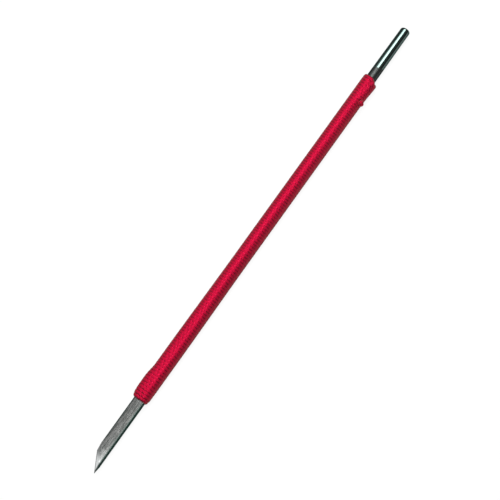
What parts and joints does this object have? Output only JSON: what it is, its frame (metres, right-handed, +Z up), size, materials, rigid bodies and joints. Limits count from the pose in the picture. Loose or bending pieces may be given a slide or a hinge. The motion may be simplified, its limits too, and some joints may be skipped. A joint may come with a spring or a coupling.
{
  "type": "seal engraving knife",
  "caption": "Slim hand tool for cutting seals: a flat steel blade with a slanted double-bevel edge, a round shank, and a grip closely wound with red cord.",
  "frame": {"origin": "under the middle of the knife's length, on the bar's axis line, at the level of the surface that the wound grip rests on", "axes": "+X along the bar towards the rear of the shank, so the cutting tip is at -X; +Z up out of the blade's flat; the edge's leading point is on the -Y side"},
  "size_m": [0.2, 0.0079, 0.0057],
  "materials": {
    "steel": "hand-ground satin blade with a brighter honed edge, polished round shank",
    "cord": "crimson plied cord with a satin sheen"
  },
  "bodies": {
    "root": {"blade_and_shank": "steel", "grip_winding": "cord", "cord_start_tail": "cord", "cord_end_tail": "cord"}
  },
  "joints": []
}
